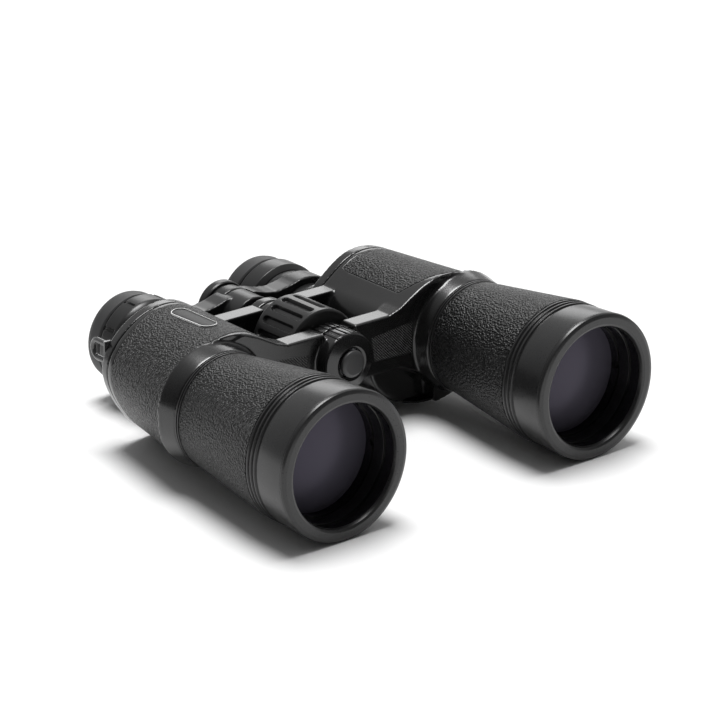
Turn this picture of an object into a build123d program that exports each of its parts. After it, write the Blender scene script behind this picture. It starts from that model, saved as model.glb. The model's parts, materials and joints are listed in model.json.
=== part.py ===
"""Centre-focus Porro-prism binoculars, 50 mm objectives, lying wide open.

X runs across the pair (+X is the user's left half), Y runs fore and aft (the
objectives face -Y) and Z is up.  The origin is under the middle of the pair, on
the surface it stands on.  "Depth" is a distance behind the front rims, and
"out" is a distance from the centre plane, towards either side.
"""
from build123d import *
from math import copysign, cos, hypot, radians, sin, sqrt
import os

os.makedirs("parts", exist_ok=True)

# --- Driving dimensions, in millimetres -----------------------------------
LENGTH = 187.0  # front rims to the backs of the eyecups
RIM_R = 31.4  # front bezel; the pair stands on it, so it is the axes' height
OBJECTIVE_OUT = 66.25  # objective axes, out from the centre plane
EYE_OUT = 35.5  # eyepiece axes, out from the centre plane (71 mm apart)
AXIS_Z = RIM_R
EYE_Z = AXIS_Z - 6.4
HINGE_Z = AXIS_Z + 4.0
FRONT_Y = -LENGTH / 2

FIT = 0.05  # radial clearance of a running fit
GAP = 0.3  # clearance between bodies that pass each other
SKIN = 0.8  # thickness of the leatherette
APERTURE_R = 25.5  # clear front opening inside the bezel
LENS_R = 24.9
RETAINER_FRONT = 13.4
CROWN_EDGE = 17.5  # front lens, at its edge
FLINT_REAR = 26.9  # seat behind the second lens
SEAM_DEPTH = 2.0  # bezel meets barrel
LEATHER_START = 24.0  # leatherette on the barrel
LEATHER_END = 75.6
BARREL_END = 77.5  # barrel meets the housing's shoulder
HOUSING_FRONT = 85.0
COVER_FRONT = 133.0  # housing meets rear cover
COVER_REAR = 138.0
SHELF_FRONT = 112.5
SHELF_REAR = 114.5
HUB_R = 12.6  # hinge knuckles
SHAFT_R = 6.0
SPINDLE_R = 4.0
WHEEL_R = 18.0
WHEEL_FRONT = 96.0
WHEEL_REAR = 121.0
NUT_R = 8.2  # focusing nut, inside the wheel
TUBE_R = 17.0  # eyepiece tubes
OCULAR_R = 15.0

RIGHT = -1
LEFT = 1
SIDES = {"right": RIGHT, "left": LEFT}

# Housing sections, as (out, height above the objective axis), round from the
# inner top corner, over the top, down the outer side and back underneath.
SECTION_MIDDLE = (58.0, 0.0)
FRONT_SECTION = [
    (30.0, 16.8), (40.0, 22.4), (50.0, 26.6), (62.0, 27.4), (80.5, 19.6), (92.6, 1.0),
    (84.4, -17.8), (67.5, -25.4), (52.0, -28.8), (34.0, -25.5), (24.2, -15.5), (23.0, 0.0),
]
REAR_SECTION = [
    (31.0, 16.6), (38.5, 22.2), (46.0, 26.0), (55.5, 26.9), (70.5, 21.6), (82.6, 6.0),
    (78.0, -10.5), (62.5, -27.4), (53.0, -31.0), (43.0, -29.4), (33.0, -25.0), (24.0, -15.0), (23.0, 0.0),
]

# Light path of one half, as (out, height above the objective axis)
EYE_DROP = EYE_Z - AXIS_Z
PATH_MIDDLE = (54.1, -18.6)  # where the light runs forward between the prisms
PRISM_HALF = hypot(OBJECTIVE_OUT - PATH_MIDDLE[0], PATH_MIDDLE[1])  # half of the long face
PRISM_TRIM = 14.5
PRISM_DEPTH = 16.5
PRISM_WIDTH = 12.0
SCREW_SPOTS = [(53.0, 22.6), (76.0, -2.6), (48.5, -24.6)]


def save(builder, name):
    """Label a finished piece and write its STEP file."""
    builder.part.label = name
    export_step(builder.part, f"parts/{name}.step")


def across(depth):
    """The upright plane at a depth: local x is X, local y is Z."""
    return Plane(origin=(0, FRONT_Y + depth, 0), x_dir=(1, 0, 0), z_dir=(0, -1, 0))


def lengthways(x, z):
    """The level plane through a fore-and-aft axis: local x is radius, local y is depth."""
    return Plane(origin=(x, FRONT_Y, z), x_dir=(1, 0, 0), z_dir=(0, 0, 1))


def spin(x, z):
    """The fore-and-aft axis at x, z."""
    return Axis((x, FRONT_Y, z), (0, 1, 0))


def turned(x, z, outline):
    """A turned piece, from (radius, depth) corners."""
    with BuildPart() as piece:
        with BuildSketch(lengthways(x, z)):
            with BuildLine():
                Polyline(*outline, close=True)
            make_face()
        revolve(axis=spin(x, z))
    return piece


def rod(x, z, radius, start, end):
    """A plain round bar along a fore-and-aft axis."""
    with BuildPart() as piece:
        with BuildSketch(across(start)):
            with Locations((x, z)):
                Circle(radius)
        extrude(amount=start - end)
    return piece.part


def plate(side, outline, start, end):
    """A flat piece between two depths, from (out, height) corners."""
    with BuildPart() as piece:
        with BuildSketch(across(start)):
            with BuildLine():
                Polyline(*[(side * out, AXIS_Z + up) for out, up in outline], close=True)
            make_face()
        extrude(amount=start - end)
    return piece.part


def lens_face(radius, vertex, edge):
    """A spherical face's half profile, from its middle out to its edge."""
    sag = edge - vertex
    curve = (radius**2 + sag**2) / (2 * sag)
    middle = curve - copysign(sqrt(curve**2 - radius**2 / 4), curve)
    return ThreePointArc((0, vertex), (radius / 2, vertex + middle), (radius, edge))


def lens(x, z, radius, front, rear):
    """A lens between two faces, each (depth at the middle, depth at the edge)."""
    with BuildPart() as piece:
        with BuildSketch(lengthways(x, z)):
            with BuildLine():
                lens_face(radius, *front)
                lens_face(radius, *rear)
                Line((radius, front[1]), (radius, rear[1]))
                Line((0, front[0]), (0, rear[0]))
            make_face()
        revolve(axis=spin(x, z))
    return piece


# --- Objective end ---------------------------------------------------------
def front_bezel(side):
    outline = [
        (APERTURE_R, 1.4), (25.9, 0.5), (26.9, 0.0), (29.9, 0.0), (31.0, 0.5), (RIM_R, 1.4), (RIM_R, SEAM_DEPTH),
        (28.8, SEAM_DEPTH), (28.8, 13.0), (LENS_R, 13.0), (25.8, 8.0), (26.4, 8.0),
        (26.4, 6.0), (APERTURE_R, 6.0),
    ]
    return turned(side * OBJECTIVE_OUT, AXIS_Z, outline)


def barrel(side):
    """Tapered tube with three fine ridges, a seat for its skin and a rear spigot."""
    ridges = []
    for i in range(3):
        start = 17.2 + 2.2 * i
        ridges += [(29.9, start + 0.4), (29.9, start + 1.0), (30.7, start + 1.4), (30.7, start + 2.2)]
    outline = [(28.8, SEAM_DEPTH), (31.2, SEAM_DEPTH), (30.5, 17.2)]
    outline += ridges
    outline += [
        (30.7, LEATHER_START), (30.0, LEATHER_START), (23.5, LEATHER_END),
        (24.5, LEATHER_END), (24.5, 76.2), (23.9, 76.4), (23.9, 76.9), (24.5, 77.1),
        (24.5, BARREL_END), (22.5, BARREL_END), (22.5, 87.5), (20.5, 87.5),
        (24.4, 36.0), (24.4, 34.0), (27.0, 34.0), (27.0, 13.0), (28.8, 13.0),
    ]
    return turned(side * OBJECTIVE_OUT, AXIS_Z, outline)


def barrel_leatherette(side):
    outline = [
        (30.0, LEATHER_START), (30.0 + SKIN, LEATHER_START),
        (23.5 + SKIN, LEATHER_END), (23.5, LEATHER_END),
    ]
    return turned(side * OBJECTIVE_OUT, AXIS_Z, outline)


def lens_cell(side):
    outline = [
        (25.7, 13.0), (27.0, 13.0), (27.0, 34.0), (24.0, 34.0),
        (24.0, FLINT_REAR), (LENS_R, FLINT_REAR), (LENS_R, CROWN_EDGE), (25.7, CROWN_EDGE),
    ]
    return turned(side * OBJECTIVE_OUT, AXIS_Z, outline)


def lens_retainer(side):
    """Threaded ring in front of the lens, with two spanner notches."""
    with BuildPart() as piece:
        with BuildSketch(across(RETAINER_FRONT)):
            with Locations((side * OBJECTIVE_OUT, AXIS_Z)):
                Circle(25.7)
                Circle(24.2, mode=Mode.SUBTRACT)
        extrude(amount=RETAINER_FRONT - CROWN_EDGE + 0.25)
        for turn in (-1, 1):
            spot = (side * OBJECTIVE_OUT + turn * LENS_R, FRONT_Y + RETAINER_FRONT, AXIS_Z)
            with Locations(spot):
                Box(3, 3, 3, mode=Mode.SUBTRACT)
    return piece


# --- Housing ---------------------------------------------------------------
def section_points(side, section, inset):
    """A housing section, drawn in by inset towards its middle."""
    points = []
    for out, up in section:
        reach = hypot(out - SECTION_MIDDLE[0], up - SECTION_MIDDLE[1])
        keep = 1 - inset / reach
        new_out = SECTION_MIDDLE[0] + keep * (out - SECTION_MIDDLE[0])
        new_up = SECTION_MIDDLE[1] + keep * (up - SECTION_MIDDLE[1])
        points.append((side * new_out, AXIS_Z + new_up))
    return points


def housing_form(side, inset, start, end):
    """The housing's tapered outside, drawn in by inset, between two depths."""
    with BuildPart() as form:
        for depth, section in ((HOUSING_FRONT, FRONT_SECTION), (COVER_REAR, REAR_SECTION)):
            with BuildSketch(across(depth)):
                with BuildLine():
                    Spline(*section_points(side, section, inset), periodic=True)
                make_face()
        loft()
        with Locations((0, FRONT_Y + (start + end) / 2, AXIS_Z)):
            Box(4 * RIM_R + 2 * OBJECTIVE_OUT, end - start, 4 * RIM_R, mode=Mode.INTERSECT)
    return form.part


def housing_leatherette(side):
    """The skin let into the housing's top, outer side and underside."""
    with BuildPart() as piece:
        add(housing_form(side, 0, HOUSING_FRONT, COVER_FRONT))
        with BuildSketch(Plane.XY):
            with BuildLine():
                edge = [(38.5, 93.0), (47.0, 89.5), (60.0, 86.4), (110.0, 86.0), (110.0, 128.5), (38.5, 130.5)]
                Polyline(*[(side * out, FRONT_Y + depth) for out, depth in edge], close=True)
            make_face()
        extrude(amount=2 * AXIS_Z + 10, mode=Mode.INTERSECT)
        add(housing_form(side, SKIN, HOUSING_FRONT, COVER_FRONT), mode=Mode.SUBTRACT)
    return piece


def shoulder(side):
    """The bell that flares from the barrel's root into the housing's front face."""
    x = side * OBJECTIVE_OUT
    with BuildPart() as piece:
        with BuildSketch(lengthways(x, AXIS_Z)):
            with BuildLine():
                Polyline((26.6, 87.0), (22.5, 87.0), (22.5, BARREL_END), (24.5, BARREL_END))
                Spline((24.5, BARREL_END), (25.1, 80.0), (26.6, 87.0))
            make_face()
        revolve(axis=spin(x, AXIS_Z))
    return piece.part


FRONT_ARM = [
    (8.0, 16.5), (27.0, 16.5), (33.0, 18.4), (41.0, 22.6), (50.0, 26.0), (60.0, 24.0),
    (56.0, -19.0), (51.4, -17.7), (41.6, -12.0), (32.0, -8.0), (8.0, -8.0),
]
REAR_ARM = [(8.0, 16.0), (30.0, 16.0), (40.0, 22.0), (40.0, -14.0), (8.0, -8.0)]
UNDERCUT = [(18.0, -8.0), (32.0, -8.0), (41.6, -12.0), (51.4, -17.7), (54.0, -40.0), (18.0, -40.0)]


def housing(side, front_knuckle, rear_knuckle, bore):
    """Cast housing with its shoulder, two arms and two hinge knuckles."""
    eye = (side * EYE_OUT, EYE_Z)
    objective = (side * OBJECTIVE_OUT, AXIS_Z)
    with BuildPart() as piece:
        add(housing_form(side, 0, HOUSING_FRONT, COVER_FRONT))
        add(plate(side, UNDERCUT, HOUSING_FRONT - 1, 92.0), mode=Mode.SUBTRACT)
        add(shoulder(side))
        add(plate(side, FRONT_ARM, 84.5, 94.0))
        add(plate(side, REAR_ARM, 124.5, COVER_FRONT))
        add(housing_leatherette(side).part, mode=Mode.SUBTRACT)
        # hinge: clear the other half's knuckles, then add this half's own
        for depths in ((77.0, 95.0), (123.0, 134.0)):
            add(rod(0, HINGE_Z, HUB_R + GAP, *depths), mode=Mode.SUBTRACT)
        for start, end in (front_knuckle, rear_knuckle):
            add(rod(0, HINGE_Z, HUB_R, start, end))
            low = max(start, 84.5)
            high = min(end, 94.0) if end < 100 else min(end, COVER_FRONT)
            web = [(7.0, 14.0), (16.0, 16.0), (16.0, -8.0), (8.0, -8.0)]
            add(plate(side, web, low, high))
            add(rod(0, HINGE_Z, bore, start - 1, end + 1), mode=Mode.SUBTRACT)
        for turn in (-24, -12, 0, 12, 24):
            x = HUB_R * sin(radians(turn))
            z = HINGE_Z + HUB_R * cos(radians(turn))
            with Locations(Location((x, FRONT_Y + 86.8, z), (0, turn, 0))):
                Box(0.9, 16.0, 1.0, mode=Mode.SUBTRACT)
        # light path, prism chamber with its ledge, and screw bosses
        add(rod(*objective, 22.5, 70.0, 87.5), mode=Mode.SUBTRACT)
        add(rod(*objective, 20.5, 80.0, 96.0), mode=Mode.SUBTRACT)
        add(housing_form(side, 3.4, 94.4, SHELF_FRONT), mode=Mode.SUBTRACT)
        add(housing_form(side, 2.8, SHELF_FRONT, COVER_FRONT), mode=Mode.SUBTRACT)
        for out, up in SCREW_SPOTS:
            add(rod(side * out, AXIS_Z + up, 2.8, 120.0, COVER_FRONT))
            add(rod(side * out, AXIS_Z + up, 1.25, 122.0, COVER_FRONT), mode=Mode.SUBTRACT)
        add(rod(*eye, TUBE_R + 0.6, 131.4, COVER_FRONT + 1), mode=Mode.SUBTRACT)
    return piece


def rear_cover(side):
    """Closes the housing and guides the eyepiece tube."""
    with BuildPart() as piece:
        add(housing_form(side, 0, COVER_FRONT, COVER_REAR))
        add(rod(side * EYE_OUT, EYE_Z, TUBE_R + 2.4, COVER_FRONT, 143.0))
        add(rod(side * EYE_OUT, EYE_Z, TUBE_R + FIT, COVER_FRONT - 1, 144.0), mode=Mode.SUBTRACT)
        for out, up in SCREW_SPOTS:
            add(rod(side * out, AXIS_Z + up, 1.25, COVER_FRONT - 1, COVER_REAR + 1), mode=Mode.SUBTRACT)
    return piece


def cover_screws(side):
    with BuildPart() as piece:
        for out, up in SCREW_SPOTS:
            add(rod(side * out, AXIS_Z + up, 1.25, 126.0, COVER_REAR))
            add(rod(side * out, AXIS_Z + up, 2.2, COVER_REAR, COVER_REAR + 1.2))
    return piece


def strap_lug(side):
    """A wire loop that stands out of the rear cover, on a small foot."""
    x = side * 79.3
    z = AXIS_Z + 9.9
    wire = 1.2
    half = 3.8
    foot = FRONT_Y + COVER_REAR
    bend = foot + 6.6
    with BuildPart() as piece:
        with BuildLine() as path:
            Line((x, foot, z - half), (x, bend, z - half))
            ThreePointArc((x, bend, z - half), (x, bend + half, z), (x, bend, z + half))
            Line((x, bend, z + half), (x, foot, z + half))
        with BuildSketch(Plane(origin=(x, foot, z - half), z_dir=(0, 1, 0))):
            Circle(wire)
        sweep(path=path.line)
        with Locations((x, foot + 0.5, z)):
            Box(3.2, 1.0, 2 * half + 2.8)
    return piece


# --- Prisms ----------------------------------------------------------------
def prism_plane(side, start, end, depth, way):
    """The plane of a prism between two light axes; local y runs way along Y."""
    out = (start[0] + end[0]) / 2
    up = (start[1] + end[1]) / 2
    length = hypot(end[0] - start[0], end[1] - start[1])
    along = (side * (end[0] - start[0]) / length, 0, (end[1] - start[1]) / length)
    flat = (-along[2] * way, 0, along[0] * way)
    return Plane(origin=(side * out, FRONT_Y + depth, AXIS_Z + up), x_dir=along, z_dir=flat)


def prism(plane):
    """A right-angle prism with its acute corners and its apex ground off."""
    shoulder_up = PRISM_HALF - PRISM_TRIM
    apex = PRISM_HALF - PRISM_DEPTH
    with BuildPart() as piece:
        with BuildSketch(plane):
            with BuildLine():
                Polyline(
                    (-PRISM_TRIM, 0), (PRISM_TRIM, 0), (PRISM_TRIM, shoulder_up), (apex, PRISM_DEPTH),
                    (-apex, PRISM_DEPTH), (-PRISM_TRIM, shoulder_up), close=True,
                )
            make_face()
        extrude(amount=PRISM_WIDTH / 2, both=True)
    return piece


def prism_planes(side):
    """The rear prism's plane, then the front prism's."""
    objective = (OBJECTIVE_OUT, 0.0)
    eye = (EYE_OUT, EYE_DROP)
    rear = prism_plane(side, objective, PATH_MIDDLE, SHELF_REAR, 1)
    front = prism_plane(side, PATH_MIDDLE, eye, SHELF_FRONT, -1)
    return rear, front


def prism_clips(side):
    """A flat spring over each prism's apex, down to the shelf on both sides."""
    strip = 0.5
    half = PRISM_WIDTH / 2
    tall = PRISM_DEPTH
    with BuildPart() as piece:
        for plane in prism_planes(side):
            across_prism = Plane(origin=plane.origin, x_dir=plane.z_dir, z_dir=-plane.x_dir)
            with BuildSketch(across_prism):
                with BuildLine():
                    Polyline(
                        (-half - strip, 0), (-half, 0), (-half, tall), (half, tall), (half, 0),
                        (half + strip, 0), (half + strip, tall + strip), (-half - strip, tall + strip),
                        close=True,
                    )
                make_face()
            extrude(amount=2.5, both=True)
    return piece


def prism_shelf(side):
    """The plate that both prisms sit on, with three windows for the light."""
    with BuildPart() as piece:
        add(housing_form(side, 2.9, SHELF_FRONT, SHELF_REAR))
        for out, up in ((OBJECTIVE_OUT, 0.0), PATH_MIDDLE, (EYE_OUT, EYE_DROP)):
            add(rod(side * out, AXIS_Z + up, 5.5, SHELF_FRONT - 1, SHELF_REAR + 1), mode=Mode.SUBTRACT)
    return piece


# --- Eyepieces -------------------------------------------------------------
def eyepiece_tube(side):
    outline = [
        (OCULAR_R + FIT, 135.5), (TUBE_R, 135.5), (TUBE_R, 160.4), (18.0, 160.4), (18.6, 161.0),
        (18.6, 165.0), (TUBE_R, 165.0), (TUBE_R, 176.6), (OCULAR_R + FIT, 176.6),
    ]
    return turned(side * EYE_OUT, EYE_Z, outline)


def ocular_barrel(side, radius):
    outline = [
        (13.0, 142.0), (radius, 142.0), (radius, 184.0), (11.5, 184.0), (11.5, 182.0), (13.0, 182.0),
    ]
    return turned(side * EYE_OUT, EYE_Z, outline)


def eyecup(side):
    outline = [
        (OCULAR_R, 178.4), (19.4, 178.4), (20.0, 179.0), (20.0, 184.4), (19.4, 186.4), (18.7, 187.0),
        (17.8, 187.0), (16.8, 185.4), (15.6, 184.2), (OCULAR_R, 184.2),
    ]
    return turned(side * EYE_OUT, EYE_Z, outline)


def ring_outline(inner, start, end):
    return [
        (inner, start), (19.0, start), (21.0, start + 2.4), (21.0, end - 0.8), (20.2, end), (inner, end),
    ]


def diopter_ring(side):
    """The adjusting ring, its grip cut by short lengthways notches."""
    notches = 9
    with BuildPart() as piece:
        with BuildSketch(lengthways(side * EYE_OUT, EYE_Z)):
            with BuildLine():
                Polyline(*ring_outline(TUBE_R + FIT, 165.0 + GAP, 176.6), close=True)
            make_face()
        revolve(axis=spin(side * EYE_OUT, EYE_Z))
        for i in range(notches):
            turn = radians(360 / notches * (i + 0.5))
            x = side * EYE_OUT + 21.0 * sin(turn)
            z = EYE_Z + 21.0 * cos(turn)
            with Locations(Location((x, FRONT_Y + 173.6, z), (0, 360 / notches * (i + 0.5), 0))):
                Box(1.4, 7.0, 1.6, mode=Mode.SUBTRACT)
    return piece


# --- Focusing bridge -------------------------------------------------------
BRIDGE_ARM = [
    (0.0, 14.6), (8.0, 13.4), (13.0, 11.8), (19.0, 10.8), (26.0, 11.8), (33.0, 13.4), (43.0, 12.2),
    (48.0, 8.6), (50.0, 2.0), (35.5, -6.4), (8.0, -7.0),
]


def bridge(side, hub_start, hub_end, bore):
    """A hub on the spindle, an arm and the ring that grips the eyepiece tube."""
    with BuildPart() as piece:
        add(plate(side, BRIDGE_ARM, 150.0, 160.0))
        add(rod(side * EYE_OUT, EYE_Z, TUBE_R + 3.0, 150.0, 160.0))
        add(rod(0, HINGE_Z, 11.0 + GAP, 149.0, 161.0), mode=Mode.SUBTRACT)
        add(rod(0, HINGE_Z, 11.0, hub_start, hub_end))
        web = [(6.0, 13.4), (9.0, 13.1), (13.0, 11.8), (13.0, -5.0), (6.0, -5.0)]
        add(plate(side, web, max(hub_start, 150.0), min(hub_end, 160.0)))
        add(rod(side * EYE_OUT, EYE_Z, TUBE_R, 149.0, 161.0), mode=Mode.SUBTRACT)
        add(rod(0, HINGE_Z, bore, hub_start - 1, hub_end + 1), mode=Mode.SUBTRACT)
    return piece


# --- Both halves -----------------------------------------------------------
FRONT_KNUCKLES = {"right": (79.0, 88.0), "left": (88.0 + GAP, 94.6)}
REAR_KNUCKLES = {"right": (124.5, 130.0), "left": (130.0 + GAP, 135.8)}
KNUCKLE_BORES = {"right": SHAFT_R, "left": SHAFT_R + 2.0}
BRIDGE_HUBS = {"right": (141.2, 154.8), "left": (154.8 + GAP, 162.0)}
BRIDGE_BORES = {"right": SPINDLE_R, "left": SPINDLE_R + FIT}

for name, side in SIDES.items():
    x = side * OBJECTIVE_OUT
    eye_x = side * EYE_OUT
    save(front_bezel(side), f"front_bezel_{name}")
    save(barrel(side), f"barrel_{name}")
    save(barrel_leatherette(side), f"barrel_leatherette_{name}")
    save(lens_cell(side), f"lens_cell_{name}")
    save(lens_retainer(side), f"lens_retainer_{name}")
    save(lens(x, AXIS_Z, LENS_R, (14.5, CROWN_EDGE), (23.5, 20.5)), f"objective_crown_lens_{name}")
    save(lens(x, AXIS_Z, LENS_R, (23.55, 20.55), (26.4, FLINT_REAR)), f"objective_flint_lens_{name}")
    save(
        housing(side, FRONT_KNUCKLES[name], REAR_KNUCKLES[name], KNUCKLE_BORES[name]),
        f"housing_{name}",
    )
    save(housing_leatherette(side), f"housing_leatherette_{name}")
    save(rear_cover(side), f"rear_cover_{name}")
    save(cover_screws(side), f"cover_screws_{name}")
    save(strap_lug(side), f"strap_lug_{name}")
    rear_plane, front_plane = prism_planes(side)
    save(prism(rear_plane), f"rear_prism_{name}")
    save(prism(front_plane), f"front_prism_{name}")
    save(prism_clips(side), f"prism_clips_{name}")
    save(prism_shelf(side), f"prism_shelf_{name}")
    save(eyepiece_tube(side), f"eyepiece_tube_{name}")
    save(ocular_barrel(side, OCULAR_R), f"ocular_barrel_{name}")
    save(lens(eye_x, EYE_Z, 13.0, (146.0, 148.0), (153.0, 151.0)), f"field_lens_{name}")
    save(lens(eye_x, EYE_Z, 13.0, (174.0, 176.0), (181.8, 179.5)), f"eye_lens_{name}")
    save(eyecup(side), f"eyecup_{name}")
    save(bridge(side, *BRIDGE_HUBS[name], BRIDGE_BORES[name]), f"bridge_{name}")

save(diopter_ring(RIGHT), "diopter_ring")
save(turned(LEFT * EYE_OUT, EYE_Z, ring_outline(TUBE_R, 165.0, 176.6)), "eyepiece_collar_left")

# --- Hinge and focusing ----------------------------------------------------
for name in ("front", "rear"):
    start, end = (FRONT_KNUCKLES if name == "front" else REAR_KNUCKLES)["left"]
    bush = [(SHAFT_R + FIT, start), (SHAFT_R + 2.0, start), (SHAFT_R + 2.0, end), (SHAFT_R + FIT, end)]
    save(turned(0, HINGE_Z, bush), f"hinge_bush_{name}")

SOCKET_R = 2.55
pin_outline = [
    (SOCKET_R, 76.5), (4.6, 76.5), (4.6, 80.5), (SHAFT_R, 80.5), (SHAFT_R, 95.2), (4.5, 95.2),
    (4.5, 101.0), (0, 101.0), (0, 90.0), (SOCKET_R, 88.5),
]
save(turned(0, HINGE_Z, pin_outline), "hinge_pin_front")

tube_outline = [
    (SPINDLE_R + FIT, 116.5), (SHAFT_R, 116.5), (SHAFT_R, 136.1), (8.5, 136.1), (8.5, 137.6),
    (SPINDLE_R + FIT, 137.6),
]
save(turned(0, HINGE_Z, tube_outline), "hinge_tube_rear")

scale_outline = [(7.0, 76.6), (8.4, 76.2), (12.0, 78.4), (HUB_R, 78.8), (HUB_R, 79.0), (7.0, 79.0)]
save(turned(0, HINGE_Z, scale_outline), "ipd_scale_ring")

cap_outline = [
    (0, 75.0), (4.9, 75.0), (5.8, 75.8), (5.8, 77.6), (4.6 + FIT, 77.6), (4.6 + FIT, 76.4), (0, 76.4),
]
save(turned(0, HINGE_Z, cap_outline), "tripod_cap")

nut_outline = [
    (4.5 + FIT, WHEEL_FRONT), (NUT_R, WHEEL_FRONT), (NUT_R, WHEEL_REAR), (SHAFT_R + FIT, WHEEL_REAR),
    (SHAFT_R + FIT, 116.0), (SPINDLE_R + FIT, 116.0), (SPINDLE_R + FIT, 102.0), (4.5 + FIT, 102.0),
]
save(turned(0, HINGE_Z, nut_outline), "focus_nut")

GROOVES = 18
with BuildPart() as focus_wheel:
    with BuildSketch(lengthways(0, HINGE_Z)):
        with BuildLine():
            Polyline(
                (NUT_R, WHEEL_FRONT), (17.2, WHEEL_FRONT), (WHEEL_R, WHEEL_FRONT + 0.8),
                (WHEEL_R, WHEEL_REAR - 0.8), (17.2, WHEEL_REAR), (NUT_R, WHEEL_REAR), close=True,
            )
        make_face()
    revolve(axis=spin(0, HINGE_Z))
    for i in range(GROOVES):
        turn = 360 / GROOVES * i
        spot = (WHEEL_R * sin(radians(turn)), FRONT_Y + 108.5, HINGE_Z + WHEEL_R * cos(radians(turn)))
        with Locations(Location(spot, (0, turn, 0))):
            Box(3.4, 20.0, 3.0, mode=Mode.SUBTRACT)
save(focus_wheel, "focus_wheel")

with BuildPart() as focus_spindle:
    add(rod(0, HINGE_Z, SPINDLE_R, 105.0, 166.0))
save(focus_spindle, "focus_spindle")

end_outline = [
    (0, 168.0), (10.4, 168.0), (12.0, 166.6), (12.0, 162.3), (SPINDLE_R, 162.3), (SPINDLE_R, 166.0), (0, 166.0),
]
save(turned(0, HINGE_Z, end_outline), "bridge_end_cap")

# --- Badge -----------------------------------------------------------------
with BuildPart() as badge:
    with BuildSketch(Plane.XY.offset(AXIS_Z + 24.0)):
        with Locations((RIGHT * 55.2, FRONT_Y + 111.0)):
            SlotOverall(26.0, 8.4, rotation=90)
    extrude(amount=3.9)
    add(housing_form(RIGHT, 0, HOUSING_FRONT, COVER_FRONT), mode=Mode.SUBTRACT)
save(badge, "badge")
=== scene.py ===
"""The looks of a pair of centre-focus Porro-prism binoculars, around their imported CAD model.

Lengths in the shape functions are millimetres; everything is built in metres in the CAD frame.
"Depth" is a distance behind the front rims.
"""
import json
import math

import bmesh
import bpy
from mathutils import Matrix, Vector
from mathutils.bvhtree import BVHTree


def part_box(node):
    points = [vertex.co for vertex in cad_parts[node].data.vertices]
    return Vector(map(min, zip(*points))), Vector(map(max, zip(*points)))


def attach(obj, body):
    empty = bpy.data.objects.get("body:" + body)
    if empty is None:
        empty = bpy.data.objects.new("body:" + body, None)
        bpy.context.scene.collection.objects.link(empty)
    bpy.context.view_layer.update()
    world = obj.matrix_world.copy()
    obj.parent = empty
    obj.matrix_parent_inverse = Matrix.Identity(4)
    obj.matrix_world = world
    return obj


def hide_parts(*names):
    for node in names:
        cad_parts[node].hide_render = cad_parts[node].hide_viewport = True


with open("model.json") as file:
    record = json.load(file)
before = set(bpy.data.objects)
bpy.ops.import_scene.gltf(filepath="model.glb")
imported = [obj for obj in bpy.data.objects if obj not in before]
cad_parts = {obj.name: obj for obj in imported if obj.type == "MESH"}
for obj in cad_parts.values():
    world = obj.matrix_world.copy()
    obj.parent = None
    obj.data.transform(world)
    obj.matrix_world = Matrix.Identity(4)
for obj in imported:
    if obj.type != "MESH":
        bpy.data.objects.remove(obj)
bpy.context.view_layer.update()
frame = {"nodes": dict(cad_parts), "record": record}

MM = 0.001
nodes = frame["nodes"]
SIDES = ("right", "left")
HALF_BODY = {"right": "right_half", "left": "left_half"}
CARRIAGE = {"right": "right_carriage", "left": "left_carriage"}
OCULAR = {"right": "right_ocular", "left": "left_carriage"}
SIGN = {"right": -1, "left": 1}


def centre(node):
    """The middle of a CAD node's box."""
    low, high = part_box(node)
    return (low + high) / 2


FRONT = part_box("front_bezel_right")[0].y
OBJECTIVE = {side: centre(f"front_bezel_{side}") for side in SIDES}
EYE = {side: centre(f"eyecup_{side}") for side in SIDES}
HINGE = centre("focus_wheel")


# --- Camera ----------------------------------------------------------------
def place_camera():
    azimuth = math.radians(-39.63)
    elevation = math.radians(20.92)
    distance = 1.4943
    target = Vector((-0.0292, -0.0571, 0.0560))
    level = math.cos(elevation)
    back = Vector((level * math.sin(azimuth), -level * math.cos(azimuth), math.sin(elevation)))
    data = bpy.data.cameras.new("camera")
    data.lens = 188.0
    data.sensor_width = 36.0
    camera = bpy.data.objects.new("camera", data)
    bpy.context.scene.collection.objects.link(camera)
    camera.location = target + back * distance
    camera.rotation_euler = (-back).to_track_quat("-Z", "Y").to_euler()
    bpy.context.scene.camera = camera


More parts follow.
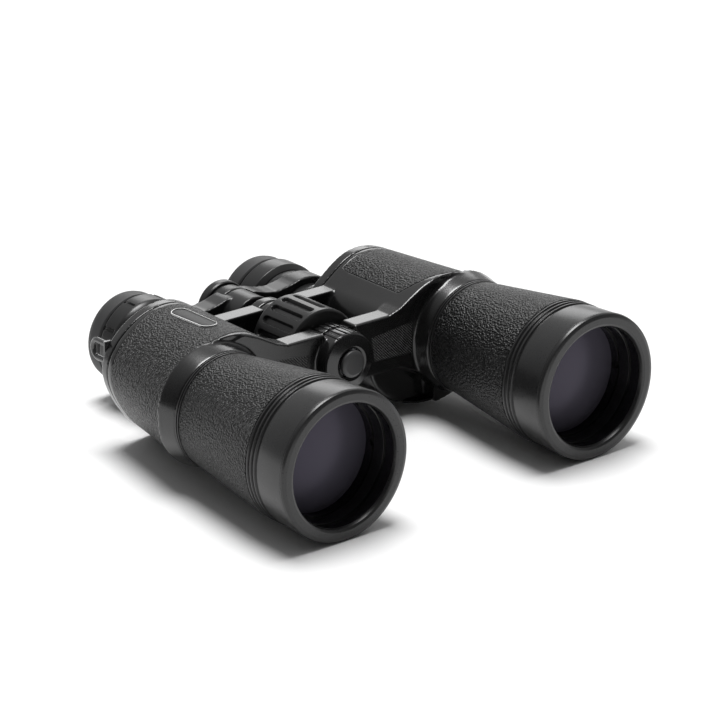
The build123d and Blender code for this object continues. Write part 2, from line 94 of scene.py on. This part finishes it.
# --- Materials -------------------------------------------------------------
class Shader:
    """A Principled material with its noise-driven colour, roughness and relief."""

    def __init__(self, name, **sockets):
        self.material = bpy.data.materials.new(name)
        self.material.use_nodes = True
        self.tree = self.material.node_tree
        self.main = self.tree.nodes["Principled BSDF"]
        for socket, value in sockets.items():
            title = socket.replace("_", " ").title().replace("Ior", "IOR")
            self.main.inputs[title].default_value = value
        self.place = self.node("ShaderNodeTexCoord").outputs["Object"]

    def node(self, kind, **settings):
        made = self.tree.nodes.new(kind)
        for key, value in settings.items():
            if key in made.inputs:
                made.inputs[key].default_value = value
            else:
                setattr(made, key, value)
        return made

    def link(self, start, end):
        self.tree.links.new(start, end)

    def noise(self, scale, detail=3.0):
        made = self.node("ShaderNodeTexNoise")
        made.inputs["Scale"].default_value = scale
        made.inputs["Detail"].default_value = detail
        self.link(self.place, made.inputs["Vector"])
        return made.outputs["Fac"]

    def ramp(self, source, low, high, start=0.3, end=0.7):
        made = self.node("ShaderNodeValToRGB")
        made.color_ramp.elements[0].position = start
        made.color_ramp.elements[1].position = end
        made.color_ramp.elements[0].color = (*low, 1)
        made.color_ramp.elements[1].color = (*high, 1)
        self.link(source, made.inputs["Fac"])
        return made.outputs["Color"]

    def colour(self, source, low, high, start=0.3, end=0.7):
        self.link(self.ramp(source, low, high, start, end), self.main.inputs["Base Color"])
        return self

    def roughness(self, source, low, high):
        made = self.node("ShaderNodeMapRange")
        made.inputs["To Min"].default_value = low
        made.inputs["To Max"].default_value = high
        self.link(source, made.inputs["Value"])
        self.link(made.outputs["Result"], self.main.inputs["Roughness"])
        return self

    def relief(self, source, strength, distance):
        made = self.node("ShaderNodeBump")
        made.inputs["Strength"].default_value = strength
        made.inputs["Distance"].default_value = distance
        self.link(source, made.inputs["Height"])
        self.link(made.outputs["Normal"], self.main.inputs["Normal"])
        return self


BROAD_NOISE = 60.0  # slow change of colour across a surface
GRAIN_STRENGTH = 0.35


def grey(level):
    return (level, level, level * 1.02)


def plain_finish(name, low, high, rough, grain, depth, **sockets):
    """A moulded, painted or machined surface with a fine even grain."""
    made = Shader(name, **sockets)
    fine = made.noise(grain)
    broad = made.noise(BROAD_NOISE)
    made.colour(broad, low, high)
    made.roughness(fine, *rough)
    made.relief(fine, GRAIN_STRENGTH, depth)
    return made.material


def leatherette():
    """Black pebbled skin: rounded grains about a millimetre across, shiny on top."""
    warp_scale = 420.0
    warp_reach = 0.0007
    grain_scale = 1050.0
    grain_edge = 0.75  # distance at which a grain has run down to the valley
    made = Shader("pebbled_leatherette", specular_ior_level=0.45)
    warp = made.node("ShaderNodeTexNoise")
    warp.inputs["Scale"].default_value = warp_scale
    made.link(made.place, warp.inputs["Vector"])
    shift = made.node("ShaderNodeVectorMath", operation="MULTIPLY_ADD")
    shift.inputs[1].default_value = (warp_reach, warp_reach, warp_reach)
    made.link(warp.outputs["Color"], shift.inputs[0])
    made.link(made.place, shift.inputs[2])
    grain = made.node("ShaderNodeTexVoronoi", feature="SMOOTH_F1")
    grain.inputs["Scale"].default_value = grain_scale
    grain.inputs["Smoothness"].default_value = 0.35
    made.link(shift.outputs["Vector"], grain.inputs["Vector"])
    dome = made.node("ShaderNodeMapRange")
    dome.inputs["From Min"].default_value = 0.0
    dome.inputs["From Max"].default_value = grain_edge
    dome.inputs["To Min"].default_value = 1.0
    dome.inputs["To Max"].default_value = 0.0
    made.link(grain.outputs["Distance"], dome.inputs["Value"])
    height = dome.outputs["Result"]
    # Painted light: the base colour is lighter on the grain tops (painted glints) and darker in the valleys
    # between grains (painted shade).
    made.colour(height, grey(0.002), grey(0.020), 0.3, 0.95)
    made.roughness(height, 0.5, 0.20)
    made.relief(height, 1.0, 0.0006)
    return made.material


def coated_lens():
    """The front glass: an even, dusky grey-violet."""
    made = Shader(
        "coated_glass", roughness=0.30, specular_ior_level=0.25, specular_tint=(0.8, 0.7, 1.0, 1.0),
    )
    # Painted reflection: the opaque glass carries its coating's dusky grey-violet reflection as a flat base
    # colour, which is brightened to make up for the shade inside the barrel.
    made.colour(made.noise(14.0, 1.0), (0.060, 0.057, 0.074), (0.068, 0.063, 0.080))
    return made.material


def clear_glass():
    made = Shader("prism_glass", roughness=0.02, transmission_weight=0.9, ior=1.52)
    made.colour(made.noise(40.0), (0.86, 0.92, 0.90), (0.90, 0.95, 0.94))
    return made.material


def metal(name, low, high, rough, grain):
    made = Shader(name, metallic=1.0)
    made.colour(made.noise(grain), low, high)
    made.roughness(made.noise(grain * 3), *rough)
    return made.material


MATERIALS = {
    "satin_black_paint": plain_finish(
        "satin_black_paint", grey(0.006), grey(0.009), (0.20, 0.27), 1500.0, 0.00002,
        specular_ior_level=0.6, coat_weight=0.2, coat_roughness=0.12,
    ),
    "gloss_black_ring": plain_finish(
        "gloss_black_ring", grey(0.016), grey(0.021), (0.25, 0.32), 1800.0, 0.00002,
        specular_ior_level=0.5,
    ),
    "pebbled_leatherette": leatherette(),
    "black_anodised": plain_finish(
        "black_anodised", grey(0.003), grey(0.005), (0.16, 0.24), 2400.0, 0.00002,
        specular_ior_level=0.5,
    ),
    "coated_glass": coated_lens(),
    "prism_glass": clear_glass(),
    "steel": metal("steel", (0.30, 0.30, 0.31), (0.38, 0.38, 0.39), (0.30, 0.42), 700.0),
    "lug_metal": plain_finish(
        "lug_metal", grey(0.05), grey(0.07), (0.12, 0.20), 1500.0, 0.00002, specular_ior_level=0.8,
    ),
    "black_rubber": plain_finish(
        "black_rubber", grey(0.032), grey(0.042), (0.45, 0.55), 1600.0, 0.00006,
        specular_ior_level=0.4,
    ),
    "black_plastic": plain_finish(
        "black_plastic", grey(0.010), grey(0.015), (0.26, 0.36), 1700.0, 0.00004,
        specular_ior_level=0.5,
    ),
    "brass": metal("brass", (0.62, 0.46, 0.18), (0.74, 0.58, 0.26), (0.22, 0.36), 600.0),
    "badge_metal": plain_finish(
        "badge_metal", grey(0.002), grey(0.004), (0.30, 0.40), 1500.0, 0.00002,
        specular_ior_level=0.15,
    ),
    # Painted light: a lighter grey than the other black plastic, standing in for light on the camera-facing
    # tripod cap.
    "cap_plastic_painted_light": plain_finish(
        "cap_plastic_painted_light", grey(0.050), grey(0.062), (0.34, 0.44), 1600.0, 0.00003,
        specular_ior_level=0.5,
    ),
    "badge_rim": metal("badge_rim", (0.50, 0.50, 0.50), (0.62, 0.62, 0.62), (0.20, 0.30), 900.0),
}


# --- Mesh helpers ----------------------------------------------------------
CREASE = 35.0  # degrees; sharper edges than this stay sharp
ROUND_STEPS = 4  # segments in one rounded corner
LONGEST_CUT = 0.45  # share of an edge that one rounding may take


def finish_mesh(name, work, body, slot, replaced=(), crease=CREASE, finish=None):
    """Turn a bmesh into a piece that rides on a body."""
    bmesh.ops.remove_doubles(work, verts=work.verts, dist=1e-7)
    bmesh.ops.recalc_face_normals(work, faces=work.faces)
    mesh = bpy.data.meshes.new(name)
    work.to_mesh(mesh)
    work.free()
    return finish_piece(name, mesh, body, slot, replaced, crease, finish)


def finish_piece(name, mesh, body, slot, replaced=(), crease=CREASE, finish=None):
    """Place a mesh in the scene; finish names a material other than the slot's own."""
    piece = bpy.data.objects.new(name, mesh)
    bpy.context.scene.collection.objects.link(piece)
    mesh.shade_smooth()
    mesh.set_sharp_from_angle(angle=math.radians(crease))
    mesh.materials.clear()
    mesh.materials.append(MATERIALS[finish or slot])
    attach(piece, body)
    if replaced:
        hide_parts(*replaced)
    return piece


def rounded(corners):
    """An outline's (radius, depth, round) corners, each round one turned into a short curve."""
    outline = []
    for i, (radius, depth, size) in enumerate(corners):
        corner = Vector((radius, depth))
        if size <= 0:
            outline.append(corner)
            continue
        before = Vector(corners[i - 1][:2]) - corner
        after = Vector(corners[(i + 1) % len(corners)][:2]) - corner
        half = before.angle(after) / 2
        cut = min(size / math.tan(half), LONGEST_CUT * before.length, LONGEST_CUT * after.length)
        start = corner + before.normalized() * cut
        end = corner + after.normalized() * cut
        for k in range(ROUND_STEPS + 1):
            t = k / ROUND_STEPS
            outline.append((1 - t) ** 2 * start + 2 * t * (1 - t) * corner + t**2 * end)
    return outline


def ring_mesh(axis, outline_at, steps):
    """A closed ring about a fore-and-aft axis; its (radius, depth) outline may change with angle."""
    work = bmesh.new()
    rows = []
    for k in range(steps):
        turn = 2 * math.pi * k / steps
        row = []
        for radius, depth in outline_at(turn):
            x = axis.x + radius * MM * math.sin(turn)
            z = axis.z + radius * MM * math.cos(turn)
            row.append(work.verts.new((x, FRONT + depth * MM, z)))
        rows.append(row)
    count = len(rows[0])
    for k in range(steps):
        row = rows[k]
        following = rows[(k + 1) % steps]
        for i in range(count):
            j = (i + 1) % count
            work.faces.new((row[i], row[j], following[j], following[i]))
    return work


def turned(name, axis, corners, body, slot, replaced=(), steps=160, finish=None):
    """A turned piece, from (radius, depth, round) corners."""
    outline = rounded(corners)
    work = ring_mesh(axis, lambda turn: outline, steps)
    return finish_mesh(name, work, body, slot, replaced, finish=finish)


def block(name, corners, start, end, body, slot, bevel):
    """A flat-sided bar between two depths, from (x, z) corners, with rounded edges."""
    work = bmesh.new()
    front = [work.verts.new((x * MM, FRONT + start * MM, z * MM)) for x, z in corners]
    back = [work.verts.new((x * MM, FRONT + end * MM, z * MM)) for x, z in corners]
    work.faces.new(front)
    work.faces.new(list(reversed(back)))
    for i in range(len(corners)):
        j = (i + 1) % len(corners)
        work.faces.new((front[j], front[i], back[i], back[j]))
    bmesh.ops.bevel(
        work, geom=list(work.edges), offset=bevel * MM, segments=2, affect="EDGES", profile=0.5,
    )
    return finish_mesh(name, work, body, slot)


def softened(name, node, body, slot, voxel, passes):
    """A casting: the CAD node's shape with every edge and corner blended."""
    source = bmesh.new()
    source.from_mesh(nodes[node].data)
    bmesh.ops.remove_doubles(source, verts=source.verts, dist=1e-6)
    mesh = bpy.data.meshes.new(name)
    source.to_mesh(mesh)
    source.free()
    rough = bpy.data.objects.new(name + "_blank", mesh)
    bpy.context.scene.collection.objects.link(rough)
    remesh = rough.modifiers.new("remesh", "REMESH")
    remesh.mode = "VOXEL"
    remesh.voxel_size = voxel * MM
    smooth = rough.modifiers.new("smooth", "SMOOTH")
    smooth.factor = 0.5
    smooth.iterations = passes
    shaped = rough.evaluated_get(bpy.context.evaluated_depsgraph_get())
    result = bpy.data.meshes.new_from_object(shaped)
    bpy.data.objects.remove(rough)
    return finish_piece(name, result, body, slot, (node,), crease=60.0)


# --- Objective end ---------------------------------------------------------
LENS_R = 24.9


def front_bezel(side):
    corners = [
        (25.5, 1.6, 0.3), (26.0, 0.4, 0.5), (27.0, 0.0, 0.5), (29.6, 0.0, 0.8), (31.1, 0.5, 0.6),
        (31.4, 1.6, 0.3), (31.4, 2.0, 0.1), (30.9, 2.0, 0), (28.8, 2.2, 0), (28.8, 13.0, 0),
        (LENS_R, 13.0, 0.1), (25.8, 8.2, 0.2), (26.5, 8.0, 0.1), (26.5, 6.1, 0.1), (25.5, 5.9, 0.15),
    ]
    turned(
        f"bezel_{side}", OBJECTIVE[side], corners, HALF_BODY[side], "gloss_black_ring",
        (f"front_bezel_{side}",),
    )


def bezel_liner(side):
    """The glossy stepped and coned inside of the front ring."""
    corners = [
        (25.48, 1.9, 0), (25.40, 2.1, 0.05), (25.40, 5.9, 0.1), (26.35, 6.1, 0.1), (26.35, 8.0, 0.1),
        (25.65, 8.2, 0.15), (24.75, 13.1, 0.1), (25.3, 13.1, 0), (26.2, 8.5, 0), (26.8, 8.2, 0),
        (26.8, 5.8, 0), (25.8, 5.6, 0), (25.8, 1.9, 0),
    ]
    turned(
        f"bezel_liner_{side}", OBJECTIVE[side], corners, HALF_BODY[side], "gloss_black_ring",
        finish="black_anodised",
    )


def barrel(side):
    """The tapered tube with its three ridges and the seat for its skin."""
    first_ridge = 17.2
    ridge_pitch = 2.2
    ridges = []
    for i in range(3):
        start = first_ridge + ridge_pitch * i
        ridges += [
            (29.9, start + 0.5, 0.2), (29.9, start + 1.1, 0.2), (30.75, start + 1.45, 0.25),
            (30.75, start + 2.1, 0.25),
        ]
    corners = [(28.8, 2.1, 0), (30.9, 2.05, 0.1), (31.25, 2.35, 0.2), (30.5, first_ridge, 0.25)]
    corners += ridges
    corners += [
        (30.6, 24.0, 0.1), (30.0, 24.05, 0), (23.5, 75.55, 0), (24.6, 75.6, 0.15), (24.6, 76.15, 0.15),
        (23.9, 76.3, 0.1), (23.9, 76.8, 0.1), (24.6, 76.95, 0.15), (24.6, 77.5, 0.15), (22.5, 77.5, 0),
        (22.5, 87.5, 0), (20.5, 87.5, 0), (24.4, 36.0, 0), (24.4, 34.0, 0), (27.0, 34.0, 0),
        (27.0, 13.0, 0), (28.8, 13.0, 0),
    ]
    turned(
        f"barrel_tube_{side}", OBJECTIVE[side], corners, HALF_BODY[side], "gloss_black_ring",
        (f"barrel_{side}",),
    )


def barrel_skin(side):
    corners = [(30.02, 24.15, 0), (30.85, 24.2, 0.3), (24.32, 75.45, 0.3), (23.52, 75.5, 0)]
    turned(
        f"barrel_skin_{side}", OBJECTIVE[side], corners, HALF_BODY[side], "pebbled_leatherette",
        (f"barrel_leatherette_{side}",), steps=192,
    )


def front_lens(side):
    """The front glass, bulging forward inside its retaining ring."""
    vertex, edge, back = 14.5, 17.5, 20.5
    back_bulge = 2.0
    rows = 16
    sag = edge - vertex
    curve = (LENS_R**2 + sag**2) / (2 * sag)
    face = []
    for k in range(rows + 1):
        radius = LENS_R * k / rows
        face.append((radius, vertex + curve - math.sqrt(curve**2 - radius**2), 0))
    corners = face + [(LENS_R, back, 0), (0, back + back_bulge, 0)]
    turned(
        f"objective_glass_{side}", OBJECTIVE[side], corners, HALF_BODY[side], "coated_glass",
        (f"objective_crown_lens_{side}",),
    )


# --- Eyepiece end ----------------------------------------------------------
def eyepiece_tube(side):
    corners = [
        (15.05, 135.5, 0), (17.0, 135.5, 0.2), (17.0, 160.4, 0.2), (18.2, 160.5, 0.4), (18.6, 161.2, 0.3),
        (18.6, 164.6, 0.3), (18.2, 165.0, 0.2), (17.0, 165.0, 0), (17.0, 176.6, 0.2), (15.05, 176.6, 0),
    ]
    turned(
        f"ocular_tube_{side}", EYE[side], corners, CARRIAGE[side], "black_plastic",
        (f"eyepiece_tube_{side}",), steps=128,
    )


def eyecup(side):
    corners = [
        (15.0, 178.4, 0), (19.2, 178.4, 0.3), (20.0, 179.1, 0.4), (20.0, 184.4, 0.8), (19.6, 186.2, 0.8),
        (18.9, 187.0, 0.6), (17.8, 187.0, 0.5), (16.9, 185.5, 0.6), (15.6, 184.3, 0.3), (15.0, 184.2, 0),
    ]
    turned(
        f"rubber_eyecup_{side}", EYE[side], corners, OCULAR[side], "black_rubber",
        (f"eyecup_{side}",), steps=128,
    )


def left_collar():
    """The plain ring that matches the diopter ring on the other side."""
    inner, start, end = 17.0, 165.0, 176.6
    corners = [
        (inner, start, 0), (18.8, start, 0.3), (20.9, start + 2.2, 0.6), (21.0, end - 0.9, 0.6),
        (20.3, end, 0.3), (inner, end, 0),
    ]
    turned(
        "collar_left", EYE["left"], corners, "left_carriage", "black_plastic",
        ("eyepiece_collar_left",), steps=128,
    )


def diopter_ring():
    """The adjusting ring: smooth pads between short lengthways notches."""
    notches = 9
    start = 165.3
    end = 176.6
    outer = 21.0
    notch_half = 0.55
    notch_slope = 0.35
    notch_deep = 0.9
    notch_front = 169.3
    rows = [168.6 + 0.25 * i for i in range(29)]

    def outline_at(turn):
        spot = (turn * notches / (2 * math.pi)) % 1.0 - 0.5
        off = abs(spot) * 2 * math.pi * outer / notches
        across = 1.0 - min(1.0, max(0.0, (off - notch_half) / notch_slope))
        outline = [(17.05, start), (18.8, start), (19.2, start + 0.3), (20.7, start + 2.0)]
        for depth in rows:
            along = min(1.0, max(0.0, (depth - notch_front) / 0.5))
            outline.append((outer - notch_deep * across * along, depth))
        outline += [(20.85 - notch_deep * across, 176.0), (20.3 - 0.5 * across, end), (17.05, end)]
        return outline

    work = ring_mesh(EYE["right"], outline_at, notches * 32)
    finish_mesh("diopter_grip", work, "diopter_ring", "black_plastic", ("diopter_ring",))


# --- Centre ----------------------------------------------------------------
WHEEL_R = 18.0
WHEEL_START = 96.0
WHEEL_END = 121.0
GROOVES = 18


def focus_wheel():
    """Ribbed wheel: round-ended grooves between smooth end rims."""
    bore = 8.2
    shoulder = 16.8
    half_width = 1.75
    groove_deep = 1.5
    groove_slope = 0.7
    first = WHEEL_START + 2.6
    last = WHEEL_END - 2.6
    pitch = 2 * math.pi * WHEEL_R / GROOVES
    rows = [WHEEL_START + 0.9 + 0.35 * i for i in range(67)]

    def outline_at(turn):
        off = ((turn * GROOVES / (2 * math.pi)) % 1.0 - 0.5) * pitch
        outline = [(bore, WHEEL_START), (shoulder, WHEEL_START), (17.5, WHEEL_START + 0.25)]
        for depth in rows:
            beyond = max(0.0, first + half_width - depth, depth - last + half_width)
            reach = math.hypot(off, beyond)
            cut = min(1.0, max(0.0, (half_width - reach) / groove_slope))
            outline.append((WHEEL_R - groove_deep * cut * cut * (3 - 2 * cut), depth))
        outline += [(17.5, WHEEL_END - 0.25), (shoulder, WHEEL_END), (bore, WHEEL_END)]
        return outline

    work = ring_mesh(HINGE, outline_at, GROOVES * 24)
    finish_mesh("ribbed_wheel", work, "focus_wheel", "black_plastic", ("focus_wheel",))


def hinge_ends():
    """The hinge's front collar, the cap over its tripod thread, and the bridge's rear cap."""
    scale_ring = [
        (6.2, 78.0, 0), (6.4, 77.2, 0.2), (7.6, 76.7, 0.6), (12.0, 78.3, 0.5), (12.6, 78.8, 0.1),
        (12.6, 79.0, 0), (6.2, 79.0, 0),
    ]
    turned(
        "scale_ring", HINGE, scale_ring, "right_half", "black_anodised", ("ipd_scale_ring",),
        finish="satin_black_paint",
    )
    socket_cap = [
        (0, 75.0, 0), (4.4, 75.0, 0.8), (5.8, 75.7, 0.5), (5.8, 77.4, 0.4), (5.3, 77.6, 0),
        (4.65, 77.6, 0), (4.65, 76.4, 0), (0, 76.4, 0),
    ]
    # The cap's finish is a lighter grey than the other black plastic: painted light.
    turned(
        "socket_cap", HINGE, socket_cap, "tripod_cap", "black_plastic", ("tripod_cap",),
        finish="cap_plastic_painted_light",
    )
    end_cap = [
        (0, 168.0, 0), (9.8, 168.0, 0.8), (12.0, 166.4, 0.8), (12.0, 163.0, 0.3), (11.6, 162.3, 0.1),
        (4.0, 162.3, 0), (4.0, 166.0, 0), (0, 166.0, 0),
    ]
    turned("end_cap", HINGE, end_cap, "right_carriage", "black_plastic", ("bridge_end_cap",))


def index_ribs(side, start, end):
    """Fine lengthways ribs on top of a front hinge knuckle."""
    low = 12.2
    high = 12.88
    half = 0.05  # radians
    count = 5
    pitch = 12.0  # degrees
    for i in range(count):
        turn = math.radians(pitch * (i - count // 2))
        corners = []
        for radius, spread in ((low, -half), (high, -half), (high, half), (low, half)):
            x = HINGE.x / MM + radius * math.sin(turn + spread)
            z = HINGE.z / MM + radius * math.cos(turn + spread)
            corners.append((x, z))
        block(
            f"index_rib_{side}_{i}", corners, start, end, HALF_BODY[side], "satin_black_paint",
            bevel=0.15,
        )


def knurl_pad(side):
    """A cross-hatched patch of small pyramids on the front arm's face."""
    pitch = 1.25
    tall = 0.4
    thick = 0.4
    fade = 0.15  # of the full height, gained at each row in from the border
    across = 110
    down = 70
    surface = 84.5
    base = OBJECTIVE[side].z / MM
    corners = [(16.5, 9.4), (40.2, 12.4), (39.4, -3.3), (18.6, -2.1)]
    work = bmesh.new()
    grid = []
    for i in range(across + 1):
        column = []
        u = i / across
        top = [corners[0][k] * (1 - u) + corners[1][k] * u for k in (0, 1)]
        low = [corners[3][k] * (1 - u) + corners[2][k] * u for k in (0, 1)]
        for j in range(down + 1):
            v = j / down
            out = top[0] * (1 - v) + low[0] * v
            up = top[1] * (1 - v) + low[1] * v
            first = abs(((out + up) / pitch) % 1.0 - 0.5) * 2
            second = abs(((out - up) / pitch) % 1.0 - 0.5) * 2
            border = min(u, 1 - u) * across * fade, min(v, 1 - v) * down * fade
            height = tall * min(first, second) * min(1.0, *border)
            spot = (SIGN[side] * out * MM, FRONT + (surface - height) * MM, (base + up) * MM)
            column.append(work.verts.new(spot))
        grid.append(column)
    for i in range(across):
        for j in range(down):
            work.faces.new((grid[i][j], grid[i + 1][j], grid[i + 1][j + 1], grid[i][j + 1]))
    edge = [e for e in work.edges if e.is_boundary]
    skirt = bmesh.ops.extrude_edge_only(work, edges=edge)["geom"]
    moved = [v for v in skirt if isinstance(v, bmesh.types.BMVert)]
    for vert in moved:
        vert.co.y += thick * MM
    back = [e for e in skirt if isinstance(e, bmesh.types.BMEdge)]
    bmesh.ops.contextual_create(work, geom=back)
    finish_mesh(f"knurl_{side}", work, HALF_BODY[side], "satin_black_paint", crease=20.0)


# --- Badge -----------------------------------------------------------------
def badge():
    """A blank pill-shaped plate in a bright raised rim, laid on the housing's skin."""
    low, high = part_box("badge")
    middle = (low + high) / 2
    skin = nodes["housing_leatherette_right"].data
    faces = [tuple(face.vertices) for face in skin.polygons]
    tree = BVHTree.FromPolygons([vert.co for vert in skin.vertices], faces)
    straight = 8.8
    radius = 4.2
    around = 48

    def outline(shrink):
        points = []
        for k in range(around):
            turn = 2 * math.pi * k / around
            way = 1 if math.sin(turn) >= 0 else -1
            x = (radius - shrink) * math.cos(turn)
            y = (radius - shrink) * math.sin(turn) + way * straight
            points.append((x, y))
        return points

    def on_skin(x, y):
        spot = Vector((middle.x + x * MM, middle.y + y * MM, high.z + 0.02))
        hit = tree.ray_cast(spot, Vector((0, 0, -1)))[0]
        return hit.z if hit else low.z

    def laid(levels):
        """Rings from (shrink, lift) levels, following the skin below."""
        work = bmesh.new()
        rings = []
        for shrink, lift in levels:
            ring = []
            for x, y in outline(shrink):
                z = min(on_skin(x, y) + lift * MM, high.z)
                ring.append(work.verts.new((middle.x + x * MM, middle.y + y * MM, z)))
            rings.append(ring)
        for a, b in zip(rings, rings[1:]):
            join(work, a, b)
        return work, rings

    def join(work, a, b):
        for k in range(around):
            n = (k + 1) % around
            work.faces.new((a[k], a[n], b[n], b[k]))

    rim = [(0.0, -0.3), (0.0, 0.3), (0.15, 0.5), (0.4, 0.5), (0.55, 0.25), (0.55, -0.3)]
    work, rings = laid(rim)
    join(work, rings[-1], rings[0])
    finish_mesh("badge_rim", work, "right_half", "badge_metal", finish="badge_rim")
    work, rings = laid([(0.55, -0.3), (0.55, 0.2), (1.0, 0.28), (3.0, 0.3)])
    work.faces.new(rings[-1])
    work.faces.new(list(reversed(rings[0])))
    finish_mesh("badge_plate", work, "right_half", "badge_metal", ("badge",))


# --- Stage -----------------------------------------------------------------
def stage():
    mesh = bpy.data.meshes.new("floor")
    reach = 6.0
    corners = [(-reach, -reach, 0), (reach, -reach, 0), (reach, reach, 0), (-reach, reach, 0)]
    mesh.from_pydata(corners, [], [(0, 1, 2, 3)])
    floor = bpy.data.objects.new("floor", mesh)
    bpy.context.scene.collection.objects.link(floor)
    pale = Shader("pale_floor", roughness=0.9, specular_ior_level=0.1)
    pale.colour(pale.noise(4.0), (0.90, 0.90, 0.90), (0.92, 0.92, 0.92))
    mesh.materials.append(pale.material)


def sun(name, azimuth, elevation, strength, spread):
    """A sun at an azimuth from the front and an elevation, with its angular size, in degrees."""
    data = bpy.data.lights.new(name, "SUN")
    data.energy = strength
    data.angle = math.radians(spread)
    lamp = bpy.data.objects.new(name, data)
    bpy.context.scene.collection.objects.link(lamp)
    level = math.cos(math.radians(elevation))
    turn = math.radians(azimuth)
    back = Vector((level * math.sin(turn), -level * math.cos(turn), math.sin(math.radians(elevation))))
    lamp.rotation_euler = (-back).to_track_quat("-Z", "Y").to_euler()


def lights():
    """A white surround, brighter from behind and above, and two suns."""
    brightest = (0.55, 0.66, 0.51)
    dark, bright = 0.05, 0.55
    world = bpy.data.worlds.new("world")
    bpy.context.scene.world = world
    world.use_nodes = True
    tree = world.node_tree
    backdrop = tree.nodes["Background"]
    backdrop.inputs["Color"].default_value = (1, 1, 1, 1)
    heading = tree.nodes.new("ShaderNodeTexCoord")
    toward = tree.nodes.new("ShaderNodeVectorMath")
    toward.operation = "DOT_PRODUCT"
    toward.inputs[1].default_value = brightest
    spread = tree.nodes.new("ShaderNodeMapRange")
    spread.interpolation_type = "SMOOTHSTEP"
    spread.inputs["From Min"].default_value = -0.25
    spread.inputs["From Max"].default_value = 0.95
    spread.inputs["To Min"].default_value = dark
    spread.inputs["To Max"].default_value = bright
    tree.links.new(heading.outputs["Generated"], toward.inputs[0])
    tree.links.new(toward.outputs["Value"], spread.inputs["Value"])
    tree.links.new(spread.outputs["Result"], backdrop.inputs["Strength"])
    sun("key", 150.0, 83.0, 3.1, 30.0)
    sun("rim", 140.0, 25.0, 0.36, 26.0)
    bpy.context.scene.view_settings.view_transform = "Standard"


# --- Build -----------------------------------------------------------------
KNUCKLE_RIBS = {"right": (79.3, 87.8), "left": (88.5, 94.3)}

place_camera()
stage()
lights()

slot_of = {row["node"]: row["material_slot"] for row in frame["record"]["subparts"]}
for node, piece in nodes.items():
    piece.data.materials.clear()
    piece.data.materials.append(MATERIALS[slot_of[node]])

for side in SIDES:
    front_bezel(side)
    bezel_liner(side)
    barrel(side)
    barrel_skin(side)
    front_lens(side)
    eyepiece_tube(side)
    eyecup(side)
    knurl_pad(side)
    softened(
        f"casting_{side}", f"housing_{side}", HALF_BODY[side], "satin_black_paint", voxel=0.6, passes=4,
    )
    softened(
        f"back_plate_{side}", f"rear_cover_{side}", HALF_BODY[side], "satin_black_paint", voxel=0.55, passes=4,
    )
    softened(
        f"bridge_arm_{side}", f"bridge_{side}", CARRIAGE[side], "black_plastic", voxel=0.5, passes=6,
    )
left_collar()
diopter_ring()
focus_wheel()
hinge_ends()
for side in SIDES:
    index_ribs(side, *KNUCKLE_RIBS[side])
badge()
